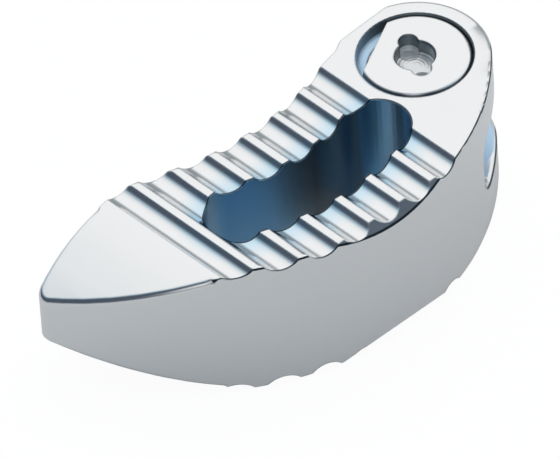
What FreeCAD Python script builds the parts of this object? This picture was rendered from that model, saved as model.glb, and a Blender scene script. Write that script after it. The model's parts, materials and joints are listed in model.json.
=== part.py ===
import FreeCAD, Part
import math
import os
import Sketcher

# A curved spinal interbody cage with a pivoting coupling barrel in its head.
# Frame: +X to the head with the barrel, -X to the nose, +Y to the concave side, +Z up.
# The origin is the middle of the box's lower face. Each piece is drawn about the cage's
# middle plane and lifted by half the height.

DRIVING_SIZES = [
    # Outline of the cage, seen from above
    ("overall_length", 28.65),
    ("overall_width", 12.6),
    ("overall_height", 9.0),
    ("head_radius", 4.15),
    ("flank_radius", 15.9),
    ("flank_apex_from_pivot", 8.45),
    ("waist_width", 10.2),
    ("waist_radius", 16.6),
    ("waist_apex_from_pivot", 8.95),
    ("nose_inner_radius", 13.9),
    ("nose_joint_from_pivot", 16.85),
    ("tip_radius", 0.75),
    ("head_flat_depth", 0.31),
    ("step_top_offset", 1.9),
    ("step_foot_offset", 2.6),
    ("step_height", 0.37),
    ("waist_end_offset", 3.9),
    # Broken edges
    ("corner_rounding", 0.9),
    ("rim_rounding", 0.2),
    ("slot_chamfer", 0.2),
    # Nose, seen from the side
    ("nose_length", 7.15),
    ("nose_curve_radius", 28.0),
    ("tip_height", 3.05),
    # Bone-grip grooves in both end plates
    ("groove_cutter_radius", 1.0),
    ("groove_depth", 0.5),
    ("groove_pitch", 2.2),
    ("groove_count", 7),
    ("groove_from_pivot", 4.9),
    ("lower_groove_shift", 0.25),
    # Flat bevel on the widest stretch of the convex flank
    ("bevel_depth", 0.56),
    ("bevel_height", 0.75),
    ("bevel_turn", -2.5),
    # Graft window, a bent slot through both end plates
    ("window_width", 3.75),
    ("window_bend_radius", 13.65),
    ("window_apex_from_pivot", 8.8),
    ("window_from_flank", 5.04),
    ("window_left", 5.9),
    ("window_right", 3.65),
    # Seat of the barrel in the head
    ("shank_radius", 2.6),
    ("flange_radius", 3.1),
    ("flange_thickness", 0.8),
    ("running_clearance", 0.05),
    ("end_clearance", 0.05),
    ("seat_chamfer", 0.1),
    # Side slot that lets the inserter reach the barrel and swing
    ("slot_height", 3.68),
    ("slot_cutter_radius", 1.0),
    ("slot_first_angle", -86.0),
    ("slot_sweep", 98.0),
    # Coupling barrel
    ("barrel_angle", -64.3),
    ("flat_offset", 2.24),
    ("flange_chamfer", 0.18),
    ("thread_radius", 1.6),
    ("thread_depth", 4.4),
    ("thread_chamfer", 0.25),
    ("socket_radius", 1.18),
    ("socket_depth", 0.88),
    ("socket_chamfer", 0.1),
    ("lobe_radius", 0.56),
    ("lobe_offset", 1.1),
    ("lobe_angle", 128.6),
    ("lobe_depth", 1.08),
    ("stub_radius", 1.7),
]

# How far a cutting profile reaches past the metal, in mm
MARGIN = 2
# Points of a sketch line or arc, and the sketch origin
START, END, CENTRE = 1, 2, 3
ORIGIN = (-1, 1)

doc = FreeCAD.newDocument("interbody_cage")
sheet = doc.addObject("Spreadsheet::Sheet", "Sizes")
for row, (alias, value) in enumerate(DRIVING_SIZES, start=1):
    sheet.set("A%d" % row, alias)
    sheet.set("B%d" % row, str(value))
    sheet.setAlias("B%d" % row, alias)
doc.recompute()


def size(alias):
    return float(sheet.get(alias))


def cell(alias):
    return "Sizes." + alias


# Places that follow from the driving sizes, as expressions for the bindings
HALF_LENGTH = "Sizes.overall_length / 2"
HALF_WIDTH = "Sizes.overall_width / 2"
HALF_HEIGHT = "Sizes.overall_height / 2"
PIVOT_X = "(Sizes.overall_length / 2 - Sizes.head_radius)"
PIVOT_Y = (
    "(Sizes.flank_radius - Sizes.overall_width / 2"
    " - sqrt((Sizes.flank_radius - Sizes.head_radius)^2 - Sizes.flank_apex_from_pivot^2))"
)
HEAD_FLAT_Y = PIVOT_Y + " + Sizes.head_radius - Sizes.head_flat_depth"
FLANK_APEX_X = PIVOT_X + " - Sizes.flank_apex_from_pivot"
WAIST_APEX_X = PIVOT_X + " - Sizes.waist_apex_from_pivot"
NOSE_JOINT_X = PIVOT_X + " - Sizes.nose_joint_from_pivot"
WINDOW_APEX_X = PIVOT_X + " - Sizes.window_apex_from_pivot"
WINDOW_CENTRE_Y = "(Sizes.window_from_flank + Sizes.window_bend_radius - Sizes.overall_width / 2)"
LEDGE_HEIGHT = "(Sizes.overall_height / 2 - Sizes.flange_thickness - Sizes.end_clearance)"
BEYOND_END = "(Sizes.overall_height / 2 + %d)" % MARGIN
BEYOND_TIP = "-(Sizes.overall_length / 2 + %d)" % MARGIN


def origin_feature(body, role):
    for feature in body.Origin.OriginFeatures:
        if feature.Role == role:
            return feature
    raise RuntimeError("no " + role)


def new_body(label):
    body = doc.addObject("PartDesign::Body", label)
    body.Label = label
    return body


def new_sketch(body, name, role):
    sketch = body.newObject("Sketcher::SketchObject", name)
    sketch.AttachmentSupport = [(origin_feature(body, role), "")]
    sketch.MapMode = "FlatFace"
    return sketch


def bind(sketch, name, index, expression):
    sketch.renameConstraint(index, name)
    sketch.setExpression("Constraints." + name, expression)


def vector(x, y):
    return FreeCAD.Vector(x, y, 0)


def arc_between(centre, radius, start, end, reverse=False):
    """Arc from start to end about centre, counter-clockwise unless reversed."""
    first = math.atan2(start.y - centre.y, start.x - centre.x)
    last = math.atan2(end.y - centre.y, end.x - centre.x)
    if reverse:
        first, last = last, first
    if last <= first:
        last += 2 * math.pi
    circle = Part.Circle(centre, FreeCAD.Vector(0, 0, 1), radius)
    return Part.ArcOfCircle(circle, first, last)


def outline_points():
    """Centres and joints of the outline's arcs, so that the sketch starts solved."""
    flank, head, waist = size("flank_radius"), size("head_radius"), size("waist_radius")
    inner, tip = size("nose_inner_radius"), size("tip_radius")
    half_length, half_width = size("overall_length") / 2, size("overall_width") / 2
    a = vector(evaluate(FLANK_APEX_X), flank - half_width)
    b = vector(evaluate(PIVOT_X), evaluate(PIVOT_Y))
    c = vector(evaluate(WAIST_APEX_X), size("waist_width") - half_width + waist)
    d_y = half_width - inner
    d = vector(c.x - math.sqrt((waist + inner) ** 2 - (c.y - d_y) ** 2), d_y)
    tip_x = tip - half_length
    f = vector(tip_x, d.y + math.sqrt((inner - tip) ** 2 - (tip_x - d.x) ** 2))
    joint_x = evaluate(NOSE_JOINT_X)
    ae = vector(joint_x, a.y - math.sqrt(flank ** 2 - (joint_x - a.x) ** 2))
    out = (ae - a).normalize()
    gap = a - f
    extra = (gap.dot(gap) - (flank - tip) ** 2) / (2 * (flank - tip + out.dot(gap)))
    e = a - out * extra
    nose = flank + extra
    flat_y = evaluate(HEAD_FLAT_Y)
    waist_end_x = b.x - size("waist_end_offset")
    return {
        "a": a, "b": b, "c": c, "d": d, "e": e, "f": f, "nose": nose,
        "ae": ae,
        "ab": a + (b - a).normalize() * flank,
        "ef": e + (f - e).normalize() * nose,
        "fd": d + (f - d).normalize() * inner,
        "dc": d + (c - d).normalize() * inner,
        "waist_end": vector(waist_end_x, c.y - math.sqrt(waist ** 2 - (waist_end_x - c.x) ** 2)),
        "foot": vector(b.x - size("step_foot_offset"), flat_y - size("step_height")),
        "top": vector(b.x - size("step_top_offset"), flat_y),
        "flat_end": vector(b.x + math.sqrt(head ** 2 - (flat_y - b.y) ** 2), flat_y),
    }


def constrain(sketch, kind, arguments, name=None, expression=None):
    index = sketch.addConstraint(Sketcher.Constraint(kind, *arguments))
    if name:
        bind(sketch, name, index, expression)
    return index


def place_point(sketch, label, geometry, position, x_expression=None, y_expression=None):
    """Fix a point's distances from the sketch origin."""
    point = sketch.getPoint(geometry, position)
    if x_expression:
        constrain(sketch, "DistanceX", (*ORIGIN, geometry, position, point.x),
                  label + "_x", x_expression)
    if y_expression:
        constrain(sketch, "DistanceY", (*ORIGIN, geometry, position, point.y),
                  label + "_y", y_expression)


def draw_outline(body):
    p = outline_points()
    sketch = new_sketch(body, "Outline", "XY_Plane")
    flank = sketch.addGeometry(arc_between(p["a"], size("flank_radius"), p["ae"], p["ab"]))
    head = sketch.addGeometry(arc_between(p["b"], size("head_radius"), p["ab"], p["flat_end"]))
    flat = sketch.addGeometry(Part.LineSegment(p["flat_end"], p["top"]))
    step = sketch.addGeometry(Part.LineSegment(p["top"], p["foot"]))
    run = sketch.addGeometry(Part.LineSegment(p["foot"], p["waist_end"]))
    waist = sketch.addGeometry(arc_between(p["c"], size("waist_radius"), p["dc"], p["waist_end"]))
    inner = sketch.addGeometry(arc_between(p["d"], size("nose_inner_radius"), p["dc"], p["fd"]))
    tip = sketch.addGeometry(arc_between(p["f"], size("tip_radius"), p["fd"], p["ef"]))
    nose = sketch.addGeometry(arc_between(p["e"], p["nose"], p["ef"], p["ae"]))
    for first, second in (
        ((flank, START), (nose, END)),
        ((nose, START), (tip, END)),
        ((tip, START), (inner, END)),
        ((inner, START), (waist, START)),
        ((flank, END), (head, START)),
    ):
        constrain(sketch, "Tangent", (*first, *second))
    for first, second in (
        ((head, END), (flat, START)),
        ((flat, END), (step, START)),
        ((step, END), (run, START)),
        ((run, END), (waist, END)),
    ):
        constrain(sketch, "Coincident", (*first, *second))
    constrain(sketch, "Horizontal", (flat,))
    for arc, alias in (
        (flank, "flank_radius"),
        (head, "head_radius"),
        (waist, "waist_radius"),
        (inner, "nose_inner_radius"),
        (tip, "tip_radius"),
    ):
        constrain(sketch, "Radius", (arc, size(alias)), alias, cell(alias))
    place_point(sketch, "flank_centre", flank, CENTRE,
                FLANK_APEX_X, "Sizes.flank_radius - " + HALF_WIDTH)
    place_point(sketch, "head_centre", head, CENTRE, PIVOT_X)
    place_point(sketch, "waist_centre", waist, CENTRE, WAIST_APEX_X,
                "Sizes.waist_width - Sizes.overall_width / 2 + Sizes.waist_radius")
    place_point(sketch, "inner_centre", inner, CENTRE, None,
                HALF_WIDTH + " - Sizes.nose_inner_radius")
    place_point(sketch, "tip_centre", tip, CENTRE, "Sizes.tip_radius - " + HALF_LENGTH)
    place_point(sketch, "nose_joint", nose, END, NOSE_JOINT_X)
    place_point(sketch, "waist_end", waist, END, PIVOT_X + " - Sizes.waist_end_offset")
    place_point(sketch, "step_foot", run, START, PIVOT_X + " - Sizes.step_foot_offset",
                HEAD_FLAT_Y + " - Sizes.step_height")
    place_point(sketch, "step_top", flat, END, PIVOT_X + " - Sizes.step_top_offset",
                HEAD_FLAT_Y)
    return sketch


def add_feature(body, kind, name, sketch):
    feature = body.newObject(kind, name)
    feature.Profile = sketch
    sketch.Visibility = False
    return feature


def cut_through(body, name, sketch):
    """Pocket through everything, both ways from the sketch plane."""
    pocket = add_feature(body, "PartDesign::Pocket", name, sketch)
    pocket.Type = "ThroughAll"
    pocket.Midplane = True
    return pocket


def add_loop(sketch, points):
    """Closed polygon; returns the index of each side."""
    sides = []
    for start, end in zip(points, points[1:] + points[:1]):
        sides.append(sketch.addGeometry(Part.LineSegment(start, end)))
    for side, following in zip(sides, sides[1:] + sides[:1]):
        constrain(sketch, "Coincident", (side, END, following, START))
    return sides


def fix_loop(sketch, label, sides, expressions):
    """Bind the start point of each side to a pair of expressions."""
    for number, (side, (x_value, y_value)) in enumerate(zip(sides, expressions)):
        place_point(sketch, "%s_%d" % (label, number), side, START, x_value, y_value)


def evaluate(expression):
    return float(sheet.evalExpression(expression))


def bound_polygon(sketch, label, corners):
    """Polygon whose corners are pairs of expressions of the driving sizes."""
    points = [vector(evaluate(x_value), evaluate(y_value)) for x_value, y_value in corners]
    sides = add_loop(sketch, points)
    fix_loop(sketch, label, sides, corners)
    return sides


def cut_nose(body):
    """The nose falls away from both end plates on a large curve."""
    sketch = new_sketch(body, "NoseCurves", "XZ_Plane")
    start_x = size("nose_length") - size("overall_length") / 2
    tip_x = -size("overall_length") / 2
    radius = size("nose_curve_radius")
    for side, label in ((1, "upper"), (-1, "lower")):
        start = vector(start_x, side * size("overall_height") / 2)
        tip = vector(tip_x, side * size("tip_height") / 2)
        chord = tip - start
        normal = vector(-chord.y, chord.x).normalize()
        if normal.y * side > 0:
            normal = normal * -1
        middle = (start + tip) * 0.5
        centre = middle + normal * math.sqrt(radius ** 2 - chord.Length ** 2 / 4)
        upper = side > 0
        arc = sketch.addGeometry(arc_between(centre, radius, start, tip, not upper))
        at_start, at_tip = (START, END) if upper else (END, START)
        beyond = vector(tip_x - MARGIN, tip.y)
        above = vector(beyond.x, side * evaluate(BEYOND_END))
        over = vector(start_x, above.y)
        lines = [
            sketch.addGeometry(Part.LineSegment(first, second))
            for first, second in ((tip, beyond), (beyond, above), (above, over), (over, start))
        ]
        constrain(sketch, "Coincident", (arc, at_tip, lines[0], START))
        for line, following in zip(lines, lines[1:]):
            constrain(sketch, "Coincident", (line, END, following, START))
        constrain(sketch, "Coincident", (lines[3], END, arc, at_start))
        sign = "" if upper else "-"
        start_height = sign + "Sizes.overall_height / 2"
        tip_height = sign + "Sizes.tip_height / 2"
        top_height = sign + BEYOND_END
        constrain(sketch, "Radius", (arc, radius), label + "_radius", cell("nose_curve_radius"))
        place_point(sketch, label + "_start", arc, at_start,
                    "Sizes.nose_length - " + HALF_LENGTH, start_height)
        place_point(sketch, label + "_tip", arc, at_tip, "-" + HALF_LENGTH, tip_height)
        place_point(sketch, label + "_beyond", lines[1], START, BEYOND_TIP, tip_height)
        place_point(sketch, label + "_above", lines[2], START, BEYOND_TIP, top_height)
        place_point(sketch, label + "_over", lines[3], START,
                    "Sizes.nose_length - " + HALF_LENGTH, top_height)
    return cut_through(body, "NoseCut", sketch)


def normals_beside(shape, edge):
    """Outward normals of the two faces that meet at the middle of an edge."""
    middle = edge.valueAt((edge.FirstParameter + edge.LastParameter) / 2)
    normals = []
    for face in shape.ancestorsOfType(edge, Part.Face):
        u, v = face.Surface.parameter(middle)
        normals.append(face.normalAt(u, v))
    return middle, normals


def edge_names(shape, wanted):
    """Names of the edges for which wanted(middle, first normal, second normal) holds."""
    names = []
    for number, edge in enumerate(shape.Edges, start=1):
        middle, normals = normals_beside(shape, edge)
        if len(normals) == 2 and wanted(middle, *normals):
            names.append("Edge%d" % number)
    return names


def break_edges(body, kind, name, wanted, datum, alias):
    """Round or chamfer the wanted edges of the body as it stands."""
    feature = doc.addObject(kind, name)
    feature.Base = (body.Tip, edge_names(body.Tip.Shape, wanted))
    body.addObject(feature)
    feature.setExpression(datum, cell(alias))
    return feature


def upright(normal):
    """True for the normal of a wall that stands square to the end plates."""
    return abs(normal.z) < 0.05


def round_corners(body):
    """Blend the upright corners of the step and the flat beside the head."""
    def is_corner(middle, first, second):
        return upright(first) and upright(second) and first.dot(second) < 0.96
    return break_edges(body, "PartDesign::Fillet", "Corners", is_corner, "Radius",
                       "corner_rounding")


def round_rims(body):
    """Round the rims where the outer wall meets the end plates."""
    def is_rim(middle, first, second):
        return upright(first) != upright(second)
    return break_edges(body, "PartDesign::Fillet", "Rims", is_rim, "Radius", "rim_rounding")


def bevel_flank(body):
    """Flat bevels where the convex flank is widest, along both end plates."""
    sketch = new_sketch(body, "FlankBevels", "YZ_Plane")
    sketch.AttachmentOffset = FreeCAD.Placement(
        FreeCAD.Vector(-size("overall_width") / 2, 0, evaluate(FLANK_APEX_X)),
        FreeCAD.Rotation(FreeCAD.Vector(0, 1, 0), size("bevel_turn")))
    sketch.setExpression(".AttachmentOffset.Base.x", "-" + HALF_WIDTH)
    sketch.setExpression(".AttachmentOffset.Base.z", FLANK_APEX_X)
    sketch.setExpression(".AttachmentOffset.Rotation.Angle", "Sizes.bevel_turn * 1 deg")
    for label, sign in (("upper", ""), ("lower", "-")):
        bound_polygon(sketch, label, [
            (cell("bevel_depth"), sign + HALF_HEIGHT),
            ("0", sign + "(" + HALF_HEIGHT + " - Sizes.bevel_height)"),
            ("-Sizes.bevel_depth", sign + "(" + HALF_HEIGHT + " - 2 * Sizes.bevel_height)"),
            ("-Sizes.bevel_depth", sign + "(" + HALF_HEIGHT + " + Sizes.bevel_height)"),
            (cell("bevel_depth"), sign + "(" + HALF_HEIGHT + " + Sizes.bevel_height)"),
        ])
    return cut_through(body, "FlankBevelCut", sketch)


def cut_grooves(body):
    """Rows of round-bottomed grooves across both end plates, leaving flat crests."""
    sketch = new_sketch(body, "FirstGroove", "XZ_Plane")
    radius = size("groove_cutter_radius")
    height = size("overall_height") / 2 - size("groove_depth") + radius
    upper_x = PIVOT_X + " - Sizes.groove_from_pivot"
    lower_x = upper_x + " - Sizes.lower_groove_shift"
    for label, sign, side, start_x in (("upper", "", 1, upper_x), ("lower", "-", -1, lower_x)):
        centre = vector(evaluate(start_x), side * height)
        circle = sketch.addGeometry(Part.Circle(centre, FreeCAD.Vector(0, 0, 1), radius))
        constrain(sketch, "Radius", (circle, radius), label + "_radius",
                  cell("groove_cutter_radius"))
        place_point(sketch, label, circle, CENTRE, start_x,
                    sign + "(" + HALF_HEIGHT + " - Sizes.groove_depth + Sizes.groove_cutter_radius)")
    first = cut_through(body, "FirstGrooveCut", sketch)
    rows = body.newObject("PartDesign::LinearPattern", "Grooves")
    rows.Originals = [first]
    rows.Direction = (origin_feature(body, "X_Axis"), [""])
    rows.Reversed = True
    rows.setExpression("Occurrences", "Sizes.groove_count")
    rows.setExpression("Length", "Sizes.groove_pitch * (Sizes.groove_count - 1)")
    body.Tip = rows
    return rows


def cut_window(body):
    """Graft window: a slot bent about one centre, with round ends, through the cage."""
    sketch = new_sketch(body, "Window", "XY_Plane")
    half_width = size("window_width") / 2
    bend = size("window_bend_radius")
    centre = vector(evaluate(WINDOW_APEX_X), evaluate(WINDOW_CENTRE_Y))
    left_x = centre.x - size("window_left")
    right_x = centre.x + size("window_right")
    left = vector(left_x, centre.y - math.sqrt(bend ** 2 - size("window_left") ** 2))
    right = vector(right_x, centre.y - math.sqrt(bend ** 2 - size("window_right") ** 2))
    left_out = (left - centre).normalize()
    right_out = (right - centre).normalize()
    outer = sketch.addGeometry(arc_between(
        centre, bend + half_width, centre + left_out * (bend + half_width),
        centre + right_out * (bend + half_width)))
    inner = sketch.addGeometry(arc_between(
        centre, bend - half_width, centre + left_out * (bend - half_width),
        centre + right_out * (bend - half_width)))
    right_end = sketch.addGeometry(arc_between(
        right, half_width, right + right_out * half_width, right - right_out * half_width))
    left_end = sketch.addGeometry(arc_between(
        left, half_width, left - left_out * half_width, left + left_out * half_width))
    constrain(sketch, "Tangent", (outer, END, right_end, START))
    constrain(sketch, "Tangent", (right_end, END, inner, END))
    constrain(sketch, "Tangent", (inner, START, left_end, START))
    constrain(sketch, "Tangent", (left_end, END, outer, START))
    constrain(sketch, "Coincident", (inner, CENTRE, outer, CENTRE))
    constrain(sketch, "Radius", (outer, bend + half_width), "outer_radius",
              "Sizes.window_bend_radius + Sizes.window_width / 2")
    constrain(sketch, "Radius", (inner, bend - half_width), "inner_radius",
              "Sizes.window_bend_radius - Sizes.window_width / 2")
    place_point(sketch, "bend_centre", outer, CENTRE, WINDOW_APEX_X, WINDOW_CENTRE_Y)
    place_point(sketch, "left_end", left_end, CENTRE, WINDOW_APEX_X + " - Sizes.window_left")
    place_point(sketch, "right_end", right_end, CENTRE, WINDOW_APEX_X + " + Sizes.window_right")
    return cut_through(body, "WindowCut", sketch)


def turn_about_pivot(sketch, angle_expression):
    """Move an XZ sketch to the pivot axis and turn it to a bearing about that axis."""
    sketch.AttachmentOffset = FreeCAD.Placement(
        FreeCAD.Vector(evaluate(PIVOT_X), 0, -evaluate(PIVOT_Y)),
        FreeCAD.Rotation(FreeCAD.Vector(0, 1, 0), evaluate(angle_expression)))
    sketch.setExpression(".AttachmentOffset.Base.x", PIVOT_X)
    sketch.setExpression(".AttachmentOffset.Base.z", "-" + PIVOT_Y)
    sketch.setExpression(".AttachmentOffset.Rotation.Angle", angle_expression)


def revolve(body, kind, name, sketch, angle_expression=None):
    feature = add_feature(body, kind, name, sketch)
    feature.ReferenceAxis = (sketch, ["V_Axis"])
    if angle_expression:
        feature.setExpression("Angle", angle_expression)
    else:
        feature.Angle = 360.0
    return feature


def cut_seat(body):
    """Stepped bore for the barrel: a flange recess at each end plate, a shank bore between."""
    sketch = new_sketch(body, "Seat", "XZ_Plane")
    turn_about_pivot(sketch, "0 deg")
    bore = "Sizes.shank_radius + Sizes.running_clearance"
    recess = "Sizes.flange_radius + Sizes.running_clearance"
    mouth = recess + " + Sizes.seat_chamfer"
    corners = [
        ("0", "-" + BEYOND_END),
        (mouth, "-" + BEYOND_END),
        (mouth, "-" + HALF_HEIGHT),
        (recess, "-(" + HALF_HEIGHT + " - Sizes.seat_chamfer)"),
        (recess, "-" + LEDGE_HEIGHT),
        (bore, "-" + LEDGE_HEIGHT),
        (bore, LEDGE_HEIGHT),
        (recess, LEDGE_HEIGHT),
        (recess, HALF_HEIGHT + " - Sizes.seat_chamfer"),
        (mouth, HALF_HEIGHT),
        (mouth, BEYOND_END),
        ("0", BEYOND_END),
    ]
    bound_polygon(sketch, "seat", corners)
    return revolve(body, "PartDesign::Groove", "SeatCut", sketch)


def cut_slot(body):
    """Side slot around the head, from the outside into the bore, with rounded corners."""
    reach = "(Sizes.head_radius + Sizes.overall_width / 2)"
    half_height = "Sizes.slot_height / 2"
    for label, bearing in (
        ("First", cell("slot_first_angle")),
        ("Last", "Sizes.slot_first_angle + Sizes.slot_sweep"),
    ):
        sketch = new_sketch(body, "Slot" + label + "End", "XZ_Plane")
        turn_about_pivot(sketch, "(" + bearing + ") * 1 deg + 90 deg")
        draw_upright_slot(sketch)
        pocket = add_feature(body, "PartDesign::Pocket", "Slot" + label + "EndCut", sketch)
        pocket.Type = "Length"
        pocket.setExpression("Length", reach)
        pocket.Reversed = True
    sketch = new_sketch(body, "SlotProfile", "XZ_Plane")
    turn_about_pivot(sketch, "Sizes.slot_first_angle * 1 deg")
    bound_polygon(sketch, "slot", [
        (cell("shank_radius"), "-" + half_height),
        (reach, "-" + half_height),
        (reach, half_height),
        (cell("shank_radius"), half_height),
    ])
    return revolve(body, "PartDesign::Groove", "SlotCut", sketch, "Sizes.slot_sweep * 1 deg")


def chamfer_slot(body):
    """Break the side slot's outer rim."""
    pivot = vector(evaluate(PIVOT_X), evaluate(PIVOT_Y))
    outside = (size("flange_radius") + size("head_radius")) / 2
    reach = (size("slot_height") + size("slot_cutter_radius")) / 2

    def is_rim(middle, first, second):
        from_pivot = vector(middle.x - pivot.x, middle.y - pivot.y).Length
        beside = outside < from_pivot and middle.x > pivot.x - size("head_radius")
        return beside and abs(middle.z) < reach and first.dot(second) < 0.9
    return break_edges(body, "PartDesign::Chamfer", "SlotRim", is_rim, "Size", "slot_chamfer")


def draw_upright_slot(sketch):
    """Round-ended slot, as high as the side slot and as wide as its cutter."""
    radius = size("slot_cutter_radius")
    rise = size("slot_height") / 2 - radius
    upper_centre, lower_centre = vector(0, rise), vector(0, -rise)
    side = vector(radius, 0)
    upper = sketch.addGeometry(arc_between(
        upper_centre, radius, upper_centre + side, upper_centre - side))
    lower = sketch.addGeometry(arc_between(
        lower_centre, radius, lower_centre - side, lower_centre + side))
    left = sketch.addGeometry(Part.LineSegment(upper_centre - side, lower_centre - side))
    right = sketch.addGeometry(Part.LineSegment(lower_centre + side, upper_centre + side))
    constrain(sketch, "Tangent", (upper, END, left, START))
    constrain(sketch, "Tangent", (left, END, lower, START))
    constrain(sketch, "Tangent", (lower, END, right, START))
    constrain(sketch, "Tangent", (right, END, upper, START))
    constrain(sketch, "Radius", (upper, radius), "radius", cell("slot_cutter_radius"))
    rise_expression = "(Sizes.slot_height / 2 - Sizes.slot_cutter_radius)"
    place_point(sketch, "upper", upper, CENTRE, "0", rise_expression)
    place_point(sketch, "lower", lower, CENTRE, "0", "-" + rise_expression)


def make_cage():
    body = new_body("cage_body")
    pad = add_feature(body, "PartDesign::Pad", "Blank", draw_outline(body))
    pad.Midplane = True
    pad.setExpression("Length", "Sizes.overall_height")
    doc.recompute()
    for step in (round_corners, round_rims, cut_nose, bevel_flank, cut_grooves, cut_window,
                 cut_seat, cut_slot, chamfer_slot):
        step(body)
        doc.recompute()
    body.setExpression(".Placement.Base.z", HALF_HEIGHT)
    return body


def make_barrel():
    """Barrel drawn upright with the mouth of its thread along its own +X."""
    body = new_body("pivot_barrel")
    sketch = new_sketch(body, "BarrelProfile", "XZ_Plane")
    under = "(" + HALF_HEIGHT + " - Sizes.flange_thickness)"
    bound_polygon(sketch, "barrel", [
        ("0", "-" + HALF_HEIGHT),
        (cell("stub_radius"), "-" + HALF_HEIGHT),
        (cell("stub_radius"), "-" + under),
        (cell("shank_radius"), "-" + under),
        (cell("shank_radius"), under),
        (cell("flange_radius"), under),
        (cell("flange_radius"), HALF_HEIGHT + " - Sizes.flange_chamfer"),
        ("Sizes.flange_radius - Sizes.flange_chamfer", HALF_HEIGHT),
        ("0", HALF_HEIGHT),
    ])
    revolve(body, "PartDesign::Revolution", "Turned", sketch)

    flat = new_sketch(body, "FlangeFlat", "XY_Plane")
    beyond = "(Sizes.flange_radius + %d)" % MARGIN
    bound_polygon(flat, "flat", [
        ("-Sizes.flat_offset", "-" + beyond),
        ("-Sizes.flat_offset", beyond),
        ("-" + beyond, beyond),
        ("-" + beyond, "-" + beyond),
    ])
    flat.AttachmentOffset = FreeCAD.Placement(
        FreeCAD.Vector(0, 0, evaluate(under)), FreeCAD.Rotation())
    flat.setExpression(".AttachmentOffset.Base.z", under)
    flat_cut = add_feature(body, "PartDesign::Pocket", "FlangeFlatCut", flat)
    flat_cut.Type = "Length"
    flat_cut.Reversed = True
    flat_cut.setExpression("Length", "Sizes.flange_thickness + %d" % MARGIN)

    socket = new_sketch(body, "SocketProfile", "XZ_Plane")
    wall = "Sizes.socket_radius - Sizes.socket_chamfer"
    floor = HALF_HEIGHT + " - Sizes.socket_depth"
    bound_polygon(socket, "socket", [
        ("0", floor),
        (wall, floor),
        (wall, HALF_HEIGHT + " - Sizes.socket_chamfer"),
        (cell("socket_radius"), HALF_HEIGHT),
        (cell("socket_radius"), BEYOND_END),
        ("0", BEYOND_END),
    ])
    revolve(body, "PartDesign::Groove", "SocketCut", socket)

    for label, bearing in (("First", "0"), ("Second", "180")):
        lobe = new_sketch(body, label + "Lobe", "XY_Plane")
        lobe.AttachmentOffset = FreeCAD.Placement(
            FreeCAD.Vector(0, 0, evaluate(HALF_HEIGHT)), FreeCAD.Rotation())
        lobe.setExpression(".AttachmentOffset.Base.z", HALF_HEIGHT)
        angle = "((Sizes.lobe_angle + " + bearing + ") * 1 deg)"
        x_value = "Sizes.lobe_offset * cos" + angle
        y_value = "Sizes.lobe_offset * sin" + angle
        centre = vector(evaluate(x_value), evaluate(y_value))
        radius = size("lobe_radius")
        circle = lobe.addGeometry(Part.Circle(centre, FreeCAD.Vector(0, 0, 1), radius))
        constrain(lobe, "Radius", (circle, radius), "radius", cell("lobe_radius"))
        place_point(lobe, "centre", circle, CENTRE, x_value, y_value)
        drilled = add_feature(body, "PartDesign::Pocket", label + "LobeCut", lobe)
        drilled.Type = "Length"
        drilled.setExpression("Length", cell("lobe_depth"))

    thread = new_sketch(body, "ThreadProfile", "XY_Plane")
    mouth = cell("shank_radius")
    outside = mouth + " + %d" % MARGIN
    bound_polygon(thread, "thread", [
        (outside, "0"),
        (outside, "Sizes.thread_radius + Sizes.thread_chamfer"),
        (mouth, "Sizes.thread_radius + Sizes.thread_chamfer"),
        (mouth + " - Sizes.thread_chamfer", cell("thread_radius")),
        (mouth + " - Sizes.thread_depth", cell("thread_radius")),
        (mouth + " - Sizes.thread_depth", "0"),
    ])
    bore = add_feature(body, "PartDesign::Groove", "ThreadBore", thread)
    bore.ReferenceAxis = (thread, ["H_Axis"])
    bore.Angle = 360.0
    seat_on_pivot(body)
    return body


def seat_on_pivot(body):
    body.Placement = FreeCAD.Placement(
        FreeCAD.Vector(), FreeCAD.Rotation(FreeCAD.Vector(0, 0, 1), size("barrel_angle")))
    body.setExpression(".Placement.Base.x", PIVOT_X)
    body.setExpression(".Placement.Base.y", PIVOT_Y)
    body.setExpression(".Placement.Base.z", HALF_HEIGHT)
    body.setExpression(".Placement.Rotation.Angle", "Sizes.barrel_angle * 1 deg")


def make_retainer():
    """Ring pressed on the barrel's lower stub, which keeps the barrel in the cage."""
    body = new_body("pivot_retainer")
    sketch = new_sketch(body, "RetainerProfile", "XZ_Plane")
    inner = cell("stub_radius")
    upper = "-(" + HALF_HEIGHT + " - Sizes.flange_thickness)"
    bound_polygon(sketch, "retainer", [
        (inner, "-" + HALF_HEIGHT),
        ("Sizes.flange_radius - Sizes.flange_chamfer", "-" + HALF_HEIGHT),
        (cell("flange_radius"), "-(" + HALF_HEIGHT + " - Sizes.flange_chamfer)"),
        (cell("flange_radius"), upper),
        (inner, upper),
    ])
    revolve(body, "PartDesign::Revolution", "Turned", sketch)
    seat_on_pivot(body)
    return body


pieces = [make_cage(), make_barrel(), make_retainer()]
doc.recompute()

for item in doc.Objects:
    if "Invalid" in item.State or "Error" in item.State:
        raise RuntimeError("failed: " + item.Label + " " + str(item.State))

os.makedirs("parts", exist_ok=True)
for piece in pieces:
    shape = piece.Shape
    if shape.isNull() or not shape.isValid() or not shape.Solids:
        raise RuntimeError("bad shape: " + piece.Label)
    shape.exportStep("parts/" + piece.Label + ".step")
    print(piece.Label, "solids", len(shape.Solids), "volume", round(shape.Volume, 2))
    print("   box", shape.BoundBox)
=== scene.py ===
import json
import math

import bmesh
import bpy
from bpy.props import FloatProperty, FloatVectorProperty, PointerProperty
from mathutils import Matrix, Vector


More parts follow.
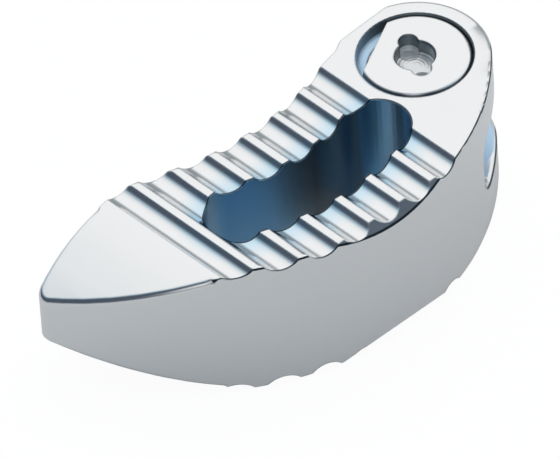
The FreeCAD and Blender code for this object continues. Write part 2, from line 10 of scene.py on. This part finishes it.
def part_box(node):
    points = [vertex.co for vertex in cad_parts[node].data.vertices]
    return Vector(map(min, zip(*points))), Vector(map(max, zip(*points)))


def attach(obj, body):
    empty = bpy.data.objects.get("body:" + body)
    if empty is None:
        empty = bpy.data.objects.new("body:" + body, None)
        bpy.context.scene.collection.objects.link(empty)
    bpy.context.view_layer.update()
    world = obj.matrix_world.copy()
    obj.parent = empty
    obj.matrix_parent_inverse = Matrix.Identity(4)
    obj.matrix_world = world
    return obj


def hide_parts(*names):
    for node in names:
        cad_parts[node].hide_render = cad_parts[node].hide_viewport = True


bl_info = {
    "name": "Spinal interbody cage",
    "version": (1, 0, 0),
    "blender": (4, 5, 0),
    "location": "3D View > Sidebar > Cage",
    "description": "Finishes a curved titanium interbody cage and sets up its studio",
    "category": "Object",
}

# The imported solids, which every size and place below is taken from or fitted to
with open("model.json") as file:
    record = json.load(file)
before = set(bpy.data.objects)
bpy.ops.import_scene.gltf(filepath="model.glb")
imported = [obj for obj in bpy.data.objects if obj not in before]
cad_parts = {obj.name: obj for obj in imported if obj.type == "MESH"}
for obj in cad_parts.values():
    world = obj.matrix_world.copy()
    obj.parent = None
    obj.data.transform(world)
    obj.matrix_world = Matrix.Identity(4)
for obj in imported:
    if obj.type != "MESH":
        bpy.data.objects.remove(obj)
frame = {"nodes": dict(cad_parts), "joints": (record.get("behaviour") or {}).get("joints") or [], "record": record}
MOUNTS = {mount["name"]: mount for mount in frame["record"]["mounts"]}
PIVOT = Vector(frame["joints"][0]["pos_m"])
CAGE_LOW, CAGE_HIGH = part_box("cage_body")
BARREL_LOW, BARREL_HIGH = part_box("pivot_barrel")
FLANGE_RADIUS = (BARREL_HIGH.x - BARREL_LOW.x) / 2
MM = 0.001

# Areas that the materials colour: reaches from the pivot axis, depths under the upper end
# plate and heights above the lower one
SKIN = 0.02 * MM
HEAD_REACH = 3.8 * MM
PORT_REACH = (3.7 * MM, 4.12 * MM)
PORT_HEIGHT = (2.6 * MM, 6.4 * MM)
GAP_WIDTH = 0.16 * MM
GAP_DEPTH = 0.75 * MM
FLANGE_EDGE = 0.1 * MM
SOCKET_REACH = 1.8 * MM
SOCKET_DEPTH = 1.2 * MM
SOCKET_FLOOR_DEPTH = 0.86 * MM
# Where the shades of the window's oxide start and end, from the pivot along the cage
OXIDE_START, OXIDE_END = 16.6 * MM, 3.2 * MM
# Largest upright part of the normal of a side wall, and least of a face that edge lines show on
WALL_TILT, EDGE_LINE_TILT = 0.15, 0.4
# Roughness of the oxide in the slot and in the window, and of the milled socket
SLOT_ROUGHNESS, WINDOW_ROUGHNESS, SOCKET_ROUGHNESS = 0.45, 0.3, 0.3
# How metallic the seat's wall beside the flat and the socket's floor are
SEAT_METALLIC, SOCKET_METALLIC = 0.4, 0.6


def linear(hex_colour):
    """Linear RGB of an sRGB hex colour."""
    channels = [int(hex_colour[i:i + 2], 16) / 255 for i in (1, 3, 5)]
    return [c / 12.92 if c <= 0.04045 else ((c + 0.055) / 1.055) ** 2.4 for c in channels]


def node(tree, kind, inputs=None, **settings):
    """Add a node; a tuple of a node and a socket name is linked, anything else is a value."""
    made = tree.nodes.new(kind)
    for key, value in settings.items():
        setattr(made, key, value)
    for key, value in (inputs or {}).items():
        socket = made.inputs[key]
        if isinstance(value, tuple) and isinstance(value[0], bpy.types.Node):
            tree.links.new(value[0].outputs[value[1]], socket)
        else:
            socket.default_value = value
    return made


def size_property(name, description, millimetres):
    """A length, given in millimetres and kept in metres."""
    return FloatProperty(name=name, description=description, default=millimetres * MM,
                         subtype="DISTANCE", unit="LENGTH", precision=5)


def colour_property(name, description, hex_colour):
    """A colour, given as sRGB hex and kept linear."""
    return FloatVectorProperty(name=name, description=description, subtype="COLOR", size=3,
                               min=0, max=1, default=linear(hex_colour))


class CageSizes(bpy.types.PropertyGroup):
    window_width: size_property("Window width", "Width of the graft window", 3.75)
    window_bend: size_property("Window bend", "Radius of the window's middle line", 13.65)
    window_apex: size_property(
        "Window apex", "Distance of the window's apex from the pivot, along the cage", 8.8)
    window_left: size_property("Window nose end", "Apex to the end centre at the nose", 5.9)
    window_right: size_property("Window head end", "Apex to the end centre at the head", 3.65)
    window_from_flank: size_property(
        "Window from flank", "Middle line of the window from the convex flank", 5.04)
    nose_rounding: size_property("Nose rim", "Width that the nose's rims are rounded by", 0.24)
    # Reach of the painted blue reflection beside the window
    bloom: size_property("Bloom", "Reach of the blue bloom beside the window", 1.6)
    # Width of the painted dark reflection along the broken edges
    edge_line: size_property("Edge line", "Width of the dark line along broken edges", 0.09)
    flank_radius: size_property("Flank radius", "Radius of the convex flank", 15.9)
    flank_apex: size_property("Flank apex", "Apex of the flank from the pivot", 8.45)
    edge_break: size_property("Edge break", "Radius that the other edges are broken by", 0.15)
    nose_from_pivot: size_property(
        "Nose from pivot", "Where the plain nose starts, from the pivot along the cage", 19.0)
    thread_pitch: size_property("Thread pitch", "Pitch of the inserter thread", 0.6)
    thread_height: size_property("Thread height", "Height of the thread's ridge", 0.3)
    thread_start: size_property(
        "Thread start", "Inner end of the thread, from the pivot along its hole", -1.5)
    thread_end: size_property(
        "Thread end", "Outer end of the thread, from the pivot along its hole", 1.6)


class CageColours(bpy.types.PropertyGroup):
    metal: colour_property("Metal", "Polished titanium alloy", "#eaebec")
    window: colour_property("Window wall", "Blue oxide on the window's wall", "#b4dcf6")
    # Painted shade for the window's nose end and middle
    window_shade: colour_property("Window's middle", "Darker oxide in the window's middle", "#828c93")
    # Painted highlight: a bright blue stripe near the window's head end
    bright: colour_property("Window's head end", "Oxide at the window's head end", "#8ad2ff")
    slot: colour_property("Slot", "Pale blue oxide in the slot round the barrel", "#c8e4fa")
    # Painted blue reflection of the window on the grooves' ends
    beside: colour_property("Beside the window", "Blue bloom on the grooves' ends", "#c4dfee")
    edge: colour_property("Broken edges", "Dark reflection along the broken edges", "#4d565c")
    # Painted shade on the socket's walls
    socket_wall_shade: colour_property("Socket wall", "Milled walls of the driver socket", "#8b9398")
    socket: colour_property("Socket", "Milled metal in the driver socket", "#f4f6f7")
    # Painted shade in the running gap round the flange
    gap: colour_property("Running gap", "Dark oxide in the gap round the flange", "#737b80")
    # Blue oxide on the seat's wall; away from the flat it turns to the gap's painted shade
    seat: colour_property("Seat wall", "Blue oxide on the seat's wall beside the flat", "#a3c4dd")
    paper: colour_property("Floor", "Paper of the studio floor", "#e7e7e7")
    sky: colour_property("Dome", "Bright dome above the part", "#ffffff")
    low_sky: colour_property("Low dome", "Dome away from its middle", "#eef1f2")
    rim_sky: colour_property("Dome's edge", "Pale blue edge of the dome", "#b9d0dd")
    dusk_sky: colour_property("Dusk", "Slate blue between the dome and the dark", "#8598a6")
    dark_sky: colour_property("Dark side", "Dark side of the studio, by the camera", "#4c5663")
    grey_card: colour_property("Grey card", "Grey card low behind the part", "#949ca0")


def bent_slot(tree, position, sizes):
    """Distance outside the window's wall, in metres, over the plan."""
    bend, ends = window_line(sizes)
    split = node(tree, "ShaderNodeSeparateXYZ", {0: position})
    flat = node(tree, "ShaderNodeCombineXYZ", {"X": (split, "X"), "Y": (split, "Y")})
    from_bend = node(tree, "ShaderNodeVectorMath", {0: (flat, "Vector"), 1: bend},
                     operation="DISTANCE")
    off_line = node(tree, "ShaderNodeMath", {0: (from_bend, "Value"), 1: sizes.window_bend},
                    operation="SUBTRACT")
    reach = node(tree, "ShaderNodeMath", {0: (off_line, "Value")}, operation="ABSOLUTE")
    reach = (reach, "Value")
    for centre, away in ends:
        arm = node(tree, "ShaderNodeVectorMath", {0: (flat, "Vector"), 1: centre},
                   operation="SUBTRACT")
        length = node(tree, "ShaderNodeVectorMath", {0: (arm, "Vector")}, operation="LENGTH")
        along = node(tree, "ShaderNodeVectorMath", {0: (arm, "Vector"), 1: away},
                     operation="DOT_PRODUCT")
        past = node(tree, "ShaderNodeMath", {0: (along, "Value"), 1: 0.0},
                    operation="GREATER_THAN")
        mixed = node(tree, "ShaderNodeMix", {"Factor": (past, "Value"), "A": reach,
                                             "B": (length, "Value")})
        reach = (mixed, "Result")
    return node(tree, "ShaderNodeMath", {0: reach, 1: sizes.window_width / 2},
                operation="SUBTRACT")


def within(tree, value, low, high):
    """1 where a value lies between two limits."""
    half = (high - low) / 2
    return node(tree, "ShaderNodeMath", {0: value, 1: low + half, 2: half}, operation="COMPARE")


def both(tree, first, second):
    """1 where two masks are both 1."""
    return node(tree, "ShaderNodeMath", {0: (first, "Value"), 1: (second, "Value")},
                operation="MULTIPLY")


def tinted(tree, under, colour, mask):
    """Lay a colour over what is under it, where the mask is 1."""
    return node(tree, "ShaderNodeMix", {"Factor": (mask, "Value"), "A": under,
                                        "B": [*colour, 1.0]}, data_type="RGBA")


def colour_stops(ramp, stops):
    """Give a colour ramp its stops, each a place and a colour."""
    elements = ramp.color_ramp.elements
    elements.remove(elements[1])
    (elements[0].position, colour), *others = stops
    elements[0].color = [*colour, 1]
    for place, colour in others:
        elements.new(place).color = [*colour, 1]
    return ramp


def pivot_reach(tree, position):
    """Distance from the pivot axis, over the plan, and the place's own coordinates."""
    split = node(tree, "ShaderNodeSeparateXYZ", {0: position})
    flat = node(tree, "ShaderNodeCombineXYZ", {"X": (split, "X"), "Y": (split, "Y")})
    reach = node(tree, "ShaderNodeVectorMath",
                 {0: (flat, "Vector"), 1: (PIVOT.x, PIVOT.y, 0)}, operation="DISTANCE")
    return reach, split


def metal_surface(name, sizes):
    """A metal's material, tree, surface, place of each point and slow change of sheen."""
    material = bpy.data.materials.new(name)
    material.use_nodes = True
    tree = material.node_tree
    tree.nodes.clear()
    broken = node(tree, "ShaderNodeBevel", {"Radius": sizes.edge_break}, samples=6)
    surface = node(tree, "ShaderNodeBsdfPrincipled",
                   {"Metallic": 1.0, "Normal": (broken, "Normal")})
    node(tree, "ShaderNodeOutputMaterial", {"Surface": (surface, "BSDF")})
    place = node(tree, "ShaderNodeTexCoord")
    # Faint clouding of a hand polish, seen as changes of sheen over about 2.5 mm
    grain = node(tree, "ShaderNodeTexNoise",
                 {"Vector": (place, "Object"), "Scale": 1 / (2.5 * MM), "Detail": 3.0})
    sheen = node(tree, "ShaderNodeMapRange",
                 {"Value": (grain, "Fac"), "To Min": 0.13, "To Max": 0.21})
    return material, tree, surface, (place, "Object"), sheen


def polished_titanium(sizes, colours):
    """Titanium alloy, polished and left with blue oxide on its inner walls; shade, a highlight and reflections are
    painted on.
    """
    material, tree, surface, place, sheen = metal_surface("titanium_alloy_polished", sizes)
    outside = bent_slot(tree, place, sizes)
    reach, split = pivot_reach(tree, place)
    below_top = within(tree, (split, "Z"), CAGE_LOW.z + SKIN, CAGE_HIGH.z - SKIN)
    beside = node(tree, "ShaderNodeMapRange",
                  {"Value": (outside, "Value"), "From Min": 0.0, "From Max": sizes.bloom,
                   "To Min": 1.0, "To Max": 0.0})
    # Painted blue reflection of the window: a cyan cast laid over the grooves' ends, fading away from the window
    bloom = node(tree, "ShaderNodeMath", {0: (beside, "Result"), 1: (below_top, "Value")},
                 operation="MULTIPLY")
    in_window = within(tree, (outside, "Value"), -2 * SKIN, 2 * SKIN)
    in_head = both(tree, within(tree, (reach, "Value"), 0.0, HEAD_REACH), below_top)
    at_port = both(tree, both(tree, within(tree, (reach, "Value"), *PORT_REACH),
                              within(tree, (split, "Y"), CAGE_LOW.y, PIVOT.y)),
                   within(tree, (split, "Z"), *PORT_HEIGHT))
    in_slot = node(tree, "ShaderNodeMath", {0: (in_head, "Value"), 1: (at_port, "Value")},
                   operation="MAXIMUM")
    # Painted shade: the cage's wall down in the running gap round the flange is coloured dark
    in_gap_shade = both(tree, within(tree, (reach, "Value"), 0.0, FLANGE_RADIUS + GAP_WIDTH),
                  within(tree, (split, "Z"), CAGE_HIGH.z - GAP_DEPTH, CAGE_HIGH.z - SKIN / 2))
    colour = tinted(tree, [*colours.metal, 1.0], colours.beside, bloom)
    colour = tinted(tree, (colour, "Result"), colours.slot, in_slot)
    colour = tinted(tree, (colour, "Result"), colours.gap, in_gap_shade)
    # The seat's wall turns from blue oxide to the gap's painted shade round the crescent beside the barrel's flat
    turn_start, turn_length = PIVOT.x + 0.5 * MM, 3.5 * MM
    turning = node(tree, "ShaderNodeMath", {0: (split, "X"), 1: -1 / turn_length,
                                            2: turn_start / turn_length},
                   operation="MULTIPLY_ADD", use_clamp=True)
    crescent_end = PIVOT.y - 1.2 * MM
    by_flat = both(tree, both(tree, in_gap_shade, turning),
                   within(tree, (split, "Y"), crescent_end, CAGE_HIGH.y))
    colour = tinted(tree, (colour, "Result"), colours.seat, by_flat)
    oxide = window_oxide_light_and_shade(tree, split, colours)
    colour = node(tree, "ShaderNodeMix", {"Factor": (in_window, "Value"),
                                          "A": (colour, "Result"), "B": (oxide, "Color")},
                  data_type="RGBA")
    # Painted reflection: a dark line along the broken edges
    colour = tinted(tree, (colour, "Result"), colours.edge,
                    painted_edge_reflection(tree, split, outside, sizes))
    rough = node(tree, "ShaderNodeMix", {"Factor": (in_slot, "Value"), "A": (sheen, "Result"),
                                         "B": SLOT_ROUGHNESS})
    rough = node(tree, "ShaderNodeMix", {"Factor": (in_window, "Value"),
                                         "A": (rough, "Result"), "B": WINDOW_ROUGHNESS})
    # The oxide beside the flat scatters the light, so it keeps its blue
    matt = node(tree, "ShaderNodeMapRange", {"Value": (by_flat, "Value"), "To Min": 1.0,
                                             "To Max": SEAT_METALLIC})
    tree.links.new(matt.outputs["Result"], surface.inputs["Metallic"])
    tree.links.new(colour.outputs["Result"], surface.inputs["Base Color"])
    tree.links.new(rough.outputs["Result"], surface.inputs["Roughness"])
    return material


def painted_edge_reflection(tree, split, outside, sizes):
    """Mask of the painted dark reflection along the broken edges: a line round the window and along the convex
    flank.
    """
    facing = node(tree, "ShaderNodeNewGeometry")
    slope = node(tree, "ShaderNodeSeparateXYZ", {0: (facing, "True Normal")})
    steep = node(tree, "ShaderNodeMath", {0: (slope, "Z")}, operation="ABSOLUTE")
    level = node(tree, "ShaderNodeMath", {0: (steep, "Value"), 1: EDGE_LINE_TILT},
                 operation="GREATER_THAN")
    flat = node(tree, "ShaderNodeCombineXYZ", {"X": (split, "X"), "Y": (split, "Y")})
    flank = node(tree, "ShaderNodeVectorMath",
                 {0: (flat, "Vector"), 1: (PIVOT.x - sizes.flank_apex,
                                           CAGE_LOW.y + sizes.flank_radius, 0)},
                 operation="DISTANCE")
    round_window = within(tree, (outside, "Value"), -SKIN / 2, sizes.edge_line)
    along_flank = within(tree, (flank, "Value"), sizes.flank_radius - sizes.edge_line,
                         sizes.flank_radius + SKIN)
    behind_nose = within(tree, (split, "X"), PIVOT.x - sizes.nose_from_pivot, CAGE_HIGH.x)
    edges = node(tree, "ShaderNodeMath", {0: (round_window, "Value"),
                                          1: (both(tree, along_flank, behind_nose), "Value")},
                 operation="MAXIMUM")
    return both(tree, edges, level)


def window_oxide_light_and_shade(tree, split, colours):
    """The window's colour along its length: blue oxide towards the nose, with painted shade at the nose's very end
    and in the middle, and a painted highlight near the head end.
    """
    along = node(tree, "ShaderNodeMapRange",
                 {"Value": (split, "X"), "From Min": PIVOT.x - OXIDE_START,
                  "From Max": PIVOT.x - OXIDE_END})
    ramp = node(tree, "ShaderNodeValToRGB", {"Fac": (along, "Result")})
    return colour_stops(ramp, ((0.04, colours.window_shade), (0.10, colours.window),
                               (0.46, colours.window), (0.60, colours.window_shade),
                               (0.88, colours.window_shade), (0.93, colours.bright),
                               (1.00, colours.window)))


def turned_titanium(sizes, colours):
    """Titanium alloy turned on a lathe: rings of the tool on the socket's floor, painted shade on the socket's
    walls and in the running gap round the flange.
    """
    material, tree, surface, place, sheen = metal_surface("titanium_alloy_turned", sizes)
    reach, split = pivot_reach(tree, place)
    sunk = within(tree, (split, "Z"), CAGE_HIGH.z - SOCKET_DEPTH, CAGE_HIGH.z - SKIN)
    in_socket = both(tree, within(tree, (reach, "Value"), 0.0, SOCKET_REACH), sunk)
    on_floor = both(tree, in_socket, within(tree, (split, "Z"), CAGE_HIGH.z - SOCKET_DEPTH,
                                            CAGE_HIGH.z - SOCKET_FLOOR_DEPTH))
    # Painted shade: the flange's outer edge down in the running gap is coloured dark
    in_gap_shade = both(tree, within(tree, (reach, "Value"), FLANGE_RADIUS - FLANGE_EDGE,
                               2 * FLANGE_RADIUS), sunk)
    # Tool rings, drawn at 0.2 mm where real ones lie at 0.05 mm, so that they can be seen
    ring_pitch = 0.2 * MM
    turns = node(tree, "ShaderNodeMath", {0: (reach, "Value"), 1: 2 * math.pi / ring_pitch},
                 operation="MULTIPLY")
    rings = node(tree, "ShaderNodeMath", {0: (turns, "Value")}, operation="SINE")
    depth = node(tree, "ShaderNodeMath", {0: (rings, "Value"), 1: (on_floor, "Value")},
                 operation="MULTIPLY")
    broken = surface.inputs["Normal"].links[0].from_node
    bump = node(tree, "ShaderNodeBump",
                {"Height": (depth, "Value"), "Strength": 0.15, "Distance": 0.02 * MM,
                 "Normal": (broken, "Normal")})
    # Painted shade: the socket's walls are coloured darker than the metal
    colour = tinted(tree, [*colours.metal, 1.0], colours.socket_wall_shade, in_socket)
    colour = tinted(tree, (colour, "Result"), colours.socket, on_floor)
    colour = tinted(tree, (colour, "Result"), colours.gap, in_gap_shade)
    rough = node(tree, "ShaderNodeMix", {"Factor": (in_socket, "Value"),
                                         "A": (sheen, "Result"), "B": SOCKET_ROUGHNESS})
    # The milled floor scatters the light, so it stays pale beside its walls, which are painted dark as shade
    matt = node(tree, "ShaderNodeMapRange", {"Value": (on_floor, "Value"), "To Min": 1.0,
                                             "To Max": SOCKET_METALLIC})
    tree.links.new(matt.outputs["Result"], surface.inputs["Metallic"])
    tree.links.new(bump.outputs["Normal"], surface.inputs["Normal"])
    tree.links.new(colour.outputs["Result"], surface.inputs["Base Color"])
    tree.links.new(rough.outputs["Result"], surface.inputs["Roughness"])
    return material


def window_line(sizes):
    """Bend centre of the window's middle line, and each end's centre and way out, in plan."""
    bend = Vector((PIVOT.x - sizes.window_apex,
                   CAGE_LOW.y + sizes.window_from_flank + sizes.window_bend, 0))
    ends = []
    for along, side in ((-sizes.window_left, -1), (sizes.window_right, 1)):
        spoke = Vector((along, -math.sqrt(sizes.window_bend ** 2 - along ** 2), 0))
        away = Vector((-spoke.y, spoke.x, 0)).normalized() * side
        ends.append((bend + spoke, away))
    return bend, ends


def on_nose_rim(edge, sizes):
    """Whether an edge parts the nose's faces from its side walls, ahead of the grooves."""
    middle = (edge.verts[0].co + edge.verts[1].co) / 2
    walls = [abs(face.normal.z) < WALL_TILT for face in edge.link_faces]
    return sum(walls) == 1 and middle.x < PIVOT.x - sizes.nose_from_pivot


def rounded_cage(sizes):
    """The cage's own mesh with the rims of its nose rounded off."""
    weld, facet_angle, crease_angle = 0.0002 * MM, math.radians(1.5), math.radians(12)
    merged = bmesh.new()
    merged.from_mesh(frame["nodes"]["cage_body"].data)
    bmesh.ops.remove_doubles(merged, verts=merged.verts, dist=weld)
    # The nose's small facets are joined first, so that its rims are whole edges
    nose_end = PIVOT.x - sizes.nose_from_pivot
    nose = [vert for vert in merged.verts if vert.co.x < nose_end]
    bmesh.ops.dissolve_limit(merged, angle_limit=facet_angle, verts=nose,
                             edges=[edge for edge in merged.edges
                                    if all(vert.co.x < nose_end for vert in edge.verts)])
    merged.normal_update()
    weight = merged.edges.layers.float.new("bevel_weight_edge")
    for edge in merged.edges:
        edge[weight] = on_nose_rim(edge, sizes)
    mesh = bpy.data.meshes.new("cage_rounded")
    merged.to_mesh(mesh)
    merged.free()
    mesh.shade_smooth()
    mesh.set_sharp_from_angle(angle=crease_angle)
    cage = bpy.data.objects.new("cage_rounded", mesh)
    bpy.context.scene.collection.objects.link(cage)
    rounding = cage.modifiers.new("rounding", "BEVEL")
    rounding.limit_method = "WEIGHT"
    rounding.width = sizes.nose_rounding
    rounding.segments = 3
    rounding.use_clamp_overlap = False
    levelled = cage.modifiers.new("levelled", "WEIGHTED_NORMAL")
    levelled.mode = "FACE_AREA"
    levelled.keep_sharp = True
    return plain_mesh(cage)


def plain_mesh(piece):
    """Turn a piece's modifiers into its plain mesh."""
    graph = bpy.context.evaluated_depsgraph_get()
    finished = bpy.data.meshes.new_from_object(piece.evaluated_get(graph))
    piece.modifiers.clear()
    piece.data = finished
    return piece


class CAGE_OT_finish_cage(bpy.types.Operator):
    """Round the nose's rims and give the cage its polished metal and blue inner walls"""
    bl_idname = "cage.finish_cage"
    bl_label = "Finish the cage"

    def execute(self, context):
        scene = context.scene
        cage = rounded_cage(scene.cage_sizes)
        cage.data.materials.clear()
        cage.data.materials.append(polished_titanium(scene.cage_sizes, scene.cage_colours))
        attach(cage, "cage")
        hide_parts("cage_body")
        return {"FINISHED"}


class CAGE_OT_finish_barrel(bpy.types.Operator):
    """Give the barrel and its retainer their turned metal"""
    bl_idname = "cage.finish_barrel"
    bl_label = "Finish the barrel"

    def execute(self, context):
        scene = context.scene
        metal = turned_titanium(scene.cage_sizes, scene.cage_colours)
        for name in ("pivot_barrel", "pivot_retainer"):
            frame["nodes"][name].material_slots[0].material = metal
        return {"FINISHED"}


def thread_group():
    """Node group of a right-hand thread ridge: a triangle swept along a helix in a hole."""
    group = bpy.data.node_groups.new("inserter_thread", "GeometryNodeTree")
    interface = group.interface
    interface.new_socket("Geometry", in_out="OUTPUT", socket_type="NodeSocketGeometry")
    for name in ("Hole radius", "Pitch", "Ridge height", "Length"):
        interface.new_socket(name, in_out="INPUT", socket_type="NodeSocketFloat")
    interface.new_socket("Metal", in_out="INPUT", socket_type="NodeSocketMaterial")
    given = node(group, "NodeGroupInput")
    turns = node(group, "ShaderNodeMath", {0: (given, "Length"), 1: (given, "Pitch")},
                 operation="DIVIDE")
    # The hole has the thread's pitch radius, so the triangle's middle runs along its wall
    helix = node(group, "GeometryNodeCurveSpiral",
                 {"Resolution": 40, "Rotations": (turns, "Value"),
                  "Start Radius": (given, "Hole radius"), "End Radius": (given, "Hole radius"),
                  "Height": (given, "Length"), "Reverse": True})
    level = node(group, "GeometryNodeSetCurveNormal", {"Curve": (helix, "Curve")}, mode="Z_UP")
    # A triangle's corners lie two thirds of its height from its middle
    corner_share = 0.667
    reach = node(group, "ShaderNodeMath", {0: (given, "Ridge height"), 1: corner_share},
                 operation="MULTIPLY")
    triangle = node(group, "GeometryNodeCurvePrimitiveCircle",
                    {"Resolution": 3, "Radius": (reach, "Value")})
    inward = node(group, "GeometryNodeTransform",
                  {"Geometry": (triangle, "Curve"), "Rotation": (0, 0, math.pi)})
    ridge = node(group, "GeometryNodeCurveToMesh",
                 {"Curve": (level, "Curve"), "Profile Curve": (inward, "Geometry"),
                  "Fill Caps": True})
    real = node(group, "GeometryNodeRealizeInstances", {"Geometry": (ridge, "Mesh")})
    metal = node(group, "GeometryNodeSetMaterial",
                 {"Geometry": (real, "Geometry"), "Material": (given, "Metal")})
    node(group, "NodeGroupOutput", {"Geometry": (metal, "Geometry")})
    return group


class CAGE_OT_cut_thread(bpy.types.Operator):
    """Cut the inserter thread into the barrel's cross hole"""
    bl_idname = "cage.cut_thread"
    bl_label = "Cut the inserter thread"

    def execute(self, context):
        sizes = context.scene.cage_sizes
        mount = MOUNTS["inserter_thread"]
        thread = bpy.data.objects.new("inserter_thread", bpy.data.meshes.new("inserter_thread"))
        context.scene.collection.objects.link(thread)
        swept = thread.modifiers.new("thread", "NODES")
        group = thread_group()
        swept.node_group = group
        values = {"Hole radius": mount["dims"]["r_mm"] * MM, "Pitch": sizes.thread_pitch,
                  "Ridge height": sizes.thread_height,
                  "Length": sizes.thread_end - sizes.thread_start,
                  "Metal": frame["nodes"]["pivot_barrel"].material_slots[0].material}
        for item in group.interface.items_tree:
            if item.in_out == "INPUT":
                swept[item.identifier] = values[item.name]
        plain_mesh(thread)
        axis = Vector(mount["axis"]).normalized()
        middle = Vector((PIVOT.x, PIVOT.y, mount["pos_m"][2]))
        turn = axis.to_track_quat("Z", "Y").to_matrix().to_4x4()
        thread.data.transform(Matrix.Translation(middle + axis * sizes.thread_start) @ turn)
        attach(thread, "barrel")
        return {"FINISHED"}


class CAGE_OT_stage(bpy.types.Operator):
    """Set up the floor, the soft studio light and the camera"""
    bl_idname = "cage.stage"
    bl_label = "Set up the studio"

    def execute(self, context):
        scene = context.scene
        scene.view_settings.view_transform = "Standard"
        make_floor(scene)
        make_lights(scene)
        make_camera(scene)
        return {"FINISHED"}


def make_floor(scene):
    """White paper under the part: it takes the part's shadow and is seen as white."""
    half, under = 3.0, -SKIN
    mesh = bpy.data.meshes.new("studio_floor")
    corners = [(-half, -half, under), (half, -half, under), (half, half, under),
               (-half, half, under)]
    mesh.from_pydata(corners, [], [(0, 1, 2, 3)])
    floor = bpy.data.objects.new("studio_floor", mesh)
    scene.collection.objects.link(floor)
    material = bpy.data.materials.new("paper_floor_white")
    material.use_nodes = True
    tree = material.node_tree
    tree.nodes.clear()
    path = node(tree, "ShaderNodeLightPath")
    seen = node(tree, "ShaderNodeMath",
                {0: (path, "Is Camera Ray"), 1: (path, "Is Transmission Ray")},
                operation="MAXIMUM")
    # Shares of the glow: the rest is the lit paper, which shows the part's shadow
    seen_share, mirrored_share = 0.9, 0.10
    shown = node(tree, "ShaderNodeMath", {0: (seen, "Value"), 1: seen_share},
                 operation="MULTIPLY")
    share = node(tree, "ShaderNodeMath",
                 {0: (path, "Is Glossy Ray"), 1: mirrored_share, 2: (shown, "Value")},
                 operation="MULTIPLY_ADD")
    paper = node(tree, "ShaderNodeBsdfDiffuse", {"Color": [*scene.cage_colours.paper, 1.0]})
    glow = node(tree, "ShaderNodeEmission", {"Color": [1.0, 1.0, 1.0, 1.0], "Strength": 1.05})
    mixed = node(tree, "ShaderNodeMixShader",
                 {0: (share, "Value"), 1: (paper, "BSDF"), 2: (glow, "Emission")})
    node(tree, "ShaderNodeOutputMaterial", {"Surface": (mixed, "Shader")})
    mesh.materials.append(material)


def make_lights(scene):
    """A bright dome above and behind the part, dark round the camera."""
    colours = scene.cage_colours
    world = bpy.data.worlds.new("studio_dome")
    scene.world = world
    world.use_nodes = True
    tree = world.node_tree
    tree.nodes.clear()
    direction = node(tree, "ShaderNodeTexCoord")
    towards = Vector((0.60, 0.35, 0.72)).normalized()
    facing = node(tree, "ShaderNodeVectorMath", {0: (direction, "Generated"), 1: towards},
                  operation="DOT_PRODUCT")
    ramp = node(tree, "ShaderNodeValToRGB", {"Fac": (facing, "Value")})
    colour_stops(ramp, ((0.18, colours.dark_sky), (0.30, colours.dusk_sky),
                        (0.43, colours.rim_sky), (0.54, colours.low_sky),
                        (0.80, colours.sky)))
    # Cards in the dome: a grey one that the grooves' far walls mirror, and two pale ones at
    # the front corners, which light the end plate for views from behind
    light, fade = (ramp, "Color"), 0.07
    for card, colour, edge in (((0.83, 0.52, 0.18), colours.grey_card, 0.87),
                               ((-0.68, -0.58, 0.45), colours.low_sky, 0.91),
                               ((0.82, -0.45, 0.36), colours.low_sky, 0.91)):
        aside = node(tree, "ShaderNodeVectorMath", {0: (direction, "Generated"),
                                                    1: Vector(card).normalized()},
                     operation="DOT_PRODUCT")
        shown = node(tree, "ShaderNodeMapRange", {"Value": (aside, "Value"), "From Min": edge,
                                                  "From Max": edge + fade})
        laid = node(tree, "ShaderNodeMix", {"Factor": (shown, "Result"), "A": light,
                                            "B": [*colour, 1]}, data_type="RGBA")
        light = (laid, "Result")
    sky = node(tree, "ShaderNodeBackground", {"Color": light, "Strength": 1.05})
    node(tree, "ShaderNodeOutputWorld", {"Surface": (sky, "Background")})


def make_camera(scene):
    """The camera that was fitted to the photo; it aims beside the pivot's top end."""
    azimuth, elevation, roll = (math.radians(a) for a in (-42.07, 45.30, -3.925))
    distance = 956.7 * MM
    frame_right, frame_up = 7.238 * MM, 9.383 * MM
    back = Vector((math.sin(azimuth) * math.cos(elevation),
                   -math.cos(azimuth) * math.cos(elevation), math.sin(elevation)))
    level = Vector((math.cos(azimuth), math.sin(azimuth), 0))
    upright = back.cross(level)
    right = level * math.cos(roll) + upright * math.sin(roll)
    up = upright * math.cos(roll) - level * math.sin(roll)
    data = bpy.data.cameras.new("camera")
    data.sensor_width = 36
    data.lens = 1146.5
    camera = bpy.data.objects.new("camera", data)
    scene.collection.objects.link(camera)
    aim = Vector((PIVOT.x, PIVOT.y, CAGE_HIGH.z))
    place = aim - right * frame_right - up * frame_up + back * distance
    axes = Matrix((right, up, back)).transposed()
    camera.matrix_world = Matrix.Translation(place) @ axes.to_4x4()
    scene.camera = camera


class CAGE_PT_panel(bpy.types.Panel):
    """Sizes, colours and steps of the cage"""
    bl_idname = "CAGE_PT_panel"
    bl_label = "Interbody cage"
    bl_space_type = "VIEW_3D"
    bl_region_type = "UI"
    bl_category = "Cage"

    def draw(self, context):
        for group in (context.scene.cage_sizes, context.scene.cage_colours):
            for key in group.__annotations__:
                self.layout.prop(group, key)
        for operator in OPERATORS:
            self.layout.operator(operator.bl_idname)


OPERATORS = (CAGE_OT_finish_cage, CAGE_OT_finish_barrel, CAGE_OT_cut_thread, CAGE_OT_stage)
CLASSES = (CageSizes, CageColours, *OPERATORS, CAGE_PT_panel)


def register():
    for cls in CLASSES:
        bpy.utils.register_class(cls)
    bpy.types.Scene.cage_sizes = PointerProperty(type=CageSizes)
    bpy.types.Scene.cage_colours = PointerProperty(type=CageColours)


def unregister():
    del bpy.types.Scene.cage_colours
    del bpy.types.Scene.cage_sizes
    for cls in reversed(CLASSES):
        bpy.utils.unregister_class(cls)


def main():
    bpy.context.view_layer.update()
    register()
    bpy.ops.cage.finish_cage()
    bpy.ops.cage.finish_barrel()
    bpy.ops.cage.cut_thread()
    bpy.ops.cage.stage()


if __name__ == "__main__":
    main()
